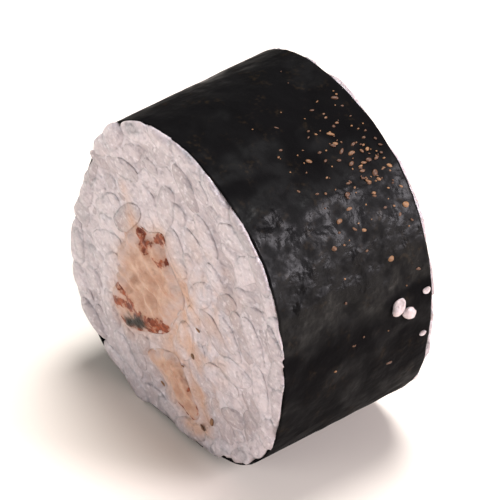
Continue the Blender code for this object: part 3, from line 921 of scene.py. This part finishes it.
class MAKI_OT_crumbs(bpy.types.Operator):
    """Sticks stray rice and browned flecks to the nori, and browned bits to the cut face"""

    bl_idname = "maki.crumbs"
    bl_label = "Stick the crumbs"

    def execute(self, context):
        sizes = context.scene.maki_sizes
        draw = np.random.default_rng(sizes.seed + 100)
        stray = np.array(STRAY_RICE)
        places, outward = on_nori(sizes, np.radians(stray[:, 0]), stray[:, 1] * MM, -0.10 * stray[:, 2] * MM)
        shape = stray[:, 2:3] * MM * np.array(STRAY_SHAPE)
        along = turned(outward, np.radians(stray[:, 3]))
        stack = crumb_stack(places, outward, along, shape, 91, STRAY_RINGS, STRAY_SEGMENTS, 0.16)
        verts, quads, tris = many_balls(stack, STRAY_RINGS, STRAY_SEGMENTS)
        masks = {"tone": np.full(len(verts), 0.85), "stain": np.full(len(verts), 0.16)}
        new_piece("stray_rice", verts, quads, tris, masks, bpy.data.materials["Moist rice"])
        high = draw.normal(FLECK_ANGLE, FLECK_SPREAD, FLECKS - LOW_FLECKS)
        angle = np.radians(np.concatenate((high, draw.uniform(*LOW_FLECK_ANGLES, LOW_FLECKS))))
        depth = draw.triangular(*FLECK_DEPTHS, FLECKS) * MM
        places, outward = on_nori(sizes, angle, depth, 0.02 * MM)
        along = turned(outward, draw.uniform(-0.9, 0.5, FLECKS))
        long = SHORTEST_FLECK + LONGER_FLECKS * draw.uniform(0, 1, FLECKS) ** FLECK_SKEW
        shape = np.stack((long, long * draw.uniform(0.3, 0.7, FLECKS) + 0.06, 0.10 + 0.15 * long), -1) * MM
        flecks = crumb_stack(places, outward, along, shape, 95)
        bits = np.array(FACE_BITS)
        faces = np.repeat((-1.0, 1.0), len(bits))
        bits = np.concatenate((bits, bits * np.array((1.0, 1.0, BACK_BITS))))
        places = np.stack((bits[:, 0], faces * (sizes.length / 2 / MM + 0.04), bits[:, 1]), -1) * MM + CENTRE
        outward = np.stack((0 * faces, faces, 0 * faces), -1)
        turn = draw.uniform(0, math.pi, len(bits))
        along = np.stack((np.cos(turn), 0 * turn, np.sin(turn)), -1)
        shape = bits[:, 2:3] * MM * np.array(BIT_SHAPE)
        specks = crumb_stack(places, outward, along, shape, 99)
        verts, quads, tris = many_balls(np.concatenate((flecks, specks)), CRUMB_RINGS, CRUMB_SEGMENTS)
        tone = np.concatenate((draw.uniform(0, 1, FLECKS) ** 2, draw.uniform(0.1, 0.9, len(bits))))
        masks = {"tone": np.repeat(tone, flecks.shape[1])}
        new_piece("browned_crumbs", verts, quads, tris, masks, fleck_material())
        return {"FINISHED"}


# The stage
def from_side(azimuth, elevation):
    """The direction from the slice at that turn and height angle, both in radians. Turn 0 is the front."""
    across = math.cos(elevation)
    return Vector((math.sin(azimuth) * across, -math.cos(azimuth) * across, math.sin(elevation)))


def aim_at_slice(obj, azimuth, elevation, distance, centre=Vector()):
    """Hangs a light or the camera on that side of the slice, facing its centre."""
    back = from_side(azimuth, elevation)
    obj.location = centre + back * distance
    obj.rotation_mode = "QUATERNION"
    obj.rotation_quaternion = back.to_track_quat("Z", "Y")
    bpy.context.scene.collection.objects.link(obj)


def softbox(name, azimuth, elevation, distance, width, height, power, colour):
    """A rectangular light that faces the slice from that direction, in degrees."""
    light = bpy.data.lights.new(name, "AREA")
    light.shape = "RECTANGLE"
    light.size, light.size_y = width, height
    light.energy = power
    light.color = colour
    aim_at_slice(bpy.data.objects.new(name, light), math.radians(azimuth), math.radians(elevation), distance)


def skylight(name, azimuth, elevation, strength, spread):
    """A far light as wide as spread degrees, so that the floor is as bright far off as it is near."""
    light = bpy.data.lights.new(name, "SUN")
    light.energy = strength
    light.angle = math.radians(spread)
    aim_at_slice(bpy.data.objects.new(name, light), math.radians(azimuth), math.radians(elevation), 1.0)


def studio_world(glow, backdrop):
    """A pale room: glow is the light that it gives, and backdrop how bright the camera sees it."""
    world = bpy.data.worlds.new("Studio")
    world.use_nodes = True
    tree = world.node_tree
    seen = place(tree, "ShaderNodeLightPath").outputs["Is Camera Ray"]
    feed(
        tree, tree.nodes["Background"], Color=(1.0, 0.98, 0.96, 1.0),
        Strength=span(tree, seen, glow, backdrop))
    return world


class MAKI_OT_stage(bpy.types.Operator):
    """Lays the pale floor, hangs the lights and places the camera"""

    bl_idname = "maki.stage"
    bl_label = "Set the stage"

    def execute(self, context):
        scene, settings = context.scene, context.scene.maki_stage
        mesh = bpy.data.meshes.new("floor")
        corners = [(x * FLOOR_REACH, y * FLOOR_REACH, 0) for x, y in ((-1, -1), (1, -1), (1, 1), (-1, 1))]
        mesh.from_pydata(corners, [], [(0, 1, 2, 3)])
        floor = bpy.data.objects.new("floor", mesh)
        scene.collection.objects.link(floor)
        material, tree, shader = new_material("Pale floor")
        feed(tree, shader, Base_Color=(*settings.floor, 1.0), Roughness=0.9, Specular_IOR_Level=0.1)
        mesh.materials.append(material)
        scene.world = studio_world(ROOM_GLOW, BACKDROP)
        softbox("key", *KEY)
        skylight("top", *TOP)
        softbox("kicker", *KICKER)
        camera = bpy.data.objects.new("camera", bpy.data.cameras.new("camera"))
        middle = Vector((0.0, 0.0, (NORI_LOW[2] + NORI_HIGH[2]) / 2))
        aim_at_slice(camera, settings.azimuth, settings.elevation, settings.distance, middle)
        camera.data.lens = settings.lens
        camera.data.clip_start, camera.data.clip_end = 0.05, 30.0
        scene.camera = camera
        scene.view_settings.view_transform = "Standard"
        return {"FINISHED"}


# Panel and registration
class MAKI_PT_panel(bpy.types.Panel):
    """Lists the steps that dress the slice, and their settings"""

    bl_label = "Maki slice"
    bl_idname = "MAKI_PT_panel"
    bl_space_type = "VIEW_3D"
    bl_region_type = "UI"
    bl_category = "Maki"

    def draw(self, context):
        layout = self.layout
        for group in (context.scene.maki_sizes, context.scene.maki_colours, context.scene.maki_stage):
            box = layout.box()
            for key in group.__annotations__:
                box.prop(group, key)
        for operator in OPERATORS:
            layout.operator(operator.bl_idname)


GROUPS = {"maki_sizes": RollSizes, "maki_colours": RollColours, "maki_stage": StageSettings}
OPERATORS = (MAKI_OT_stage, MAKI_OT_nori, MAKI_OT_rice, MAKI_OT_eel, MAKI_OT_crumbs)


def register():
    """Makes the settings, steps and panel known to Blender."""
    for cls in (*GROUPS.values(), *OPERATORS, MAKI_PT_panel):
        bpy.utils.register_class(cls)
    for key, group in GROUPS.items():
        setattr(bpy.types.Scene, key, PointerProperty(type=group))


def unregister():
    """Takes them out again."""
    for key in GROUPS:
        delattr(bpy.types.Scene, key)
    for cls in (MAKI_PT_panel, *reversed(OPERATORS), *reversed(GROUPS.values())):
        bpy.utils.unregister_class(cls)


def main():
    """Runs every step in order."""
    register()
    bpy.ops.maki.stage()
    bpy.ops.maki.nori()
    bpy.ops.maki.rice()
    bpy.ops.maki.eel()
    bpy.ops.maki.crumbs()


if __name__ == "__main__":
    main()
